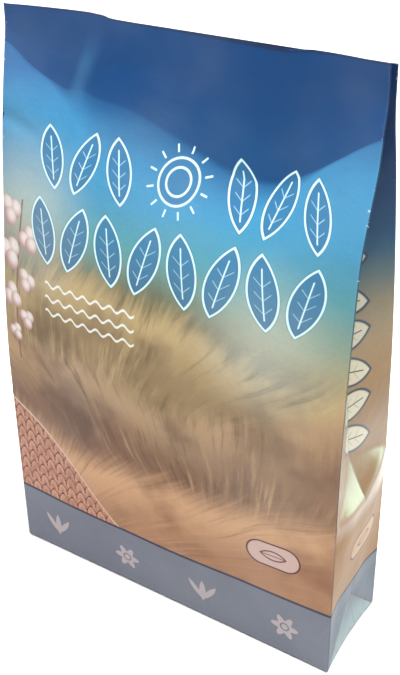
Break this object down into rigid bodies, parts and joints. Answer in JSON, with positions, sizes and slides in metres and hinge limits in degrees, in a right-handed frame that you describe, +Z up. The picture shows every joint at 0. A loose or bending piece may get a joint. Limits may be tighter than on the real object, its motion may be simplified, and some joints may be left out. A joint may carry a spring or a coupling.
{
  "type": "cat litter bag",
  "caption": "Sealed block-bottom paper bag of cat litter with side gussets, standing full, its top pinched flat and its printed panels bare of text.",
  "frame": {"origin": "middle of the footprint on the floor, under the bag", "axes": "+Z up the bag, +X towards the right gusset, -Y towards the front panel"},
  "size_m": [0.247, 0.0876, 0.3811],
  "materials": {
    "printed_paper": "satin"
  },
  "bodies": {
    "root": {"litter_bag": "printed_paper"}
  },
  "joints": []
}
